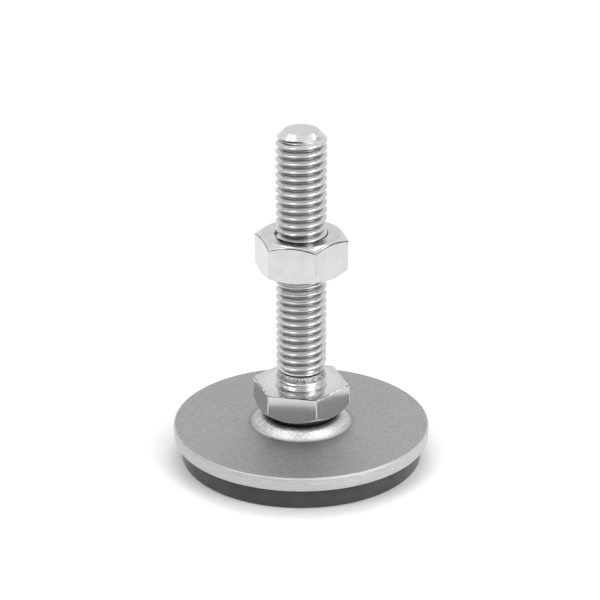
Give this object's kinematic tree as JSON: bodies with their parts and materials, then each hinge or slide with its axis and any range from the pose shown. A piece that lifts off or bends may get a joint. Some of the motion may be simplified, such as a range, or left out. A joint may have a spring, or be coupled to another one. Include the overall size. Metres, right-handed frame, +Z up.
{
  "type": "furniture leveling foot",
  "caption": "Screw-in levelling foot: threaded stud with hexagon and lock nut, tilting in a raised boss on a round steel foot with a rubber pad.",
  "frame": {"origin": "centre of the rubber pad's underside, on the floor", "axes": "+Z up along the stud; +X through two corners of the stud's hexagon and of the lock nut"},
  "size_m": [0.0404, 0.0404, 0.0542],
  "materials": {
    "foot_steel": "shot-blasted, matt",
    "pad_rubber": "moulded, matt",
    "liner_plastic": "moulded, matt",
    "washer_steel": "satin",
    "stud_steel": "rolled thread, bright",
    "ring_steel": "spring steel",
    "nut_steel": "polished, bright"
  },
  "bodies": {
    "foot": {"foot_plate": "foot_steel", "rubber_pad": "pad_rubber"},
    "liner": {"glide_ring": "liner_plastic"},
    "retainer": {"retaining_washer": "washer_steel"},
    "stud": {"levelling_stud": "stud_steel", "retaining_ring": "ring_steel"},
    "nut": {"lock_nut": "nut_steel"}
  },
  "joints": [
    {"name": "tilt_x", "type": "hinge", "parent": "foot", "child": "liner", "pos_m": [0, 0, 0.0158], "axis": [1, 0, 0], "range_deg": [-5.5, 5.5]},
    {"name": "tilt_y", "type": "hinge", "parent": "liner", "child": "retainer", "pos_m": [0, 0, 0.0158], "axis": [0, 1, 0], "range_deg": [-5.5, 5.5]},
    {"name": "stud_spin", "type": "hinge", "parent": "retainer", "child": "stud", "pos_m": [0, 0, 0.0158], "axis": [0, 0, 1], "range_deg": [-4320, 4320]},
    {"name": "nut_travel", "type": "slide", "parent": "retainer", "child": "nut", "axis": [0, 0, 1], "range_m": [-0.015, 0.015]}
  ],
  "couplings": [
    {"joint": "nut_travel", "follows": "stud_spin", "m_per_rad": -0.00019894}
  ]
}
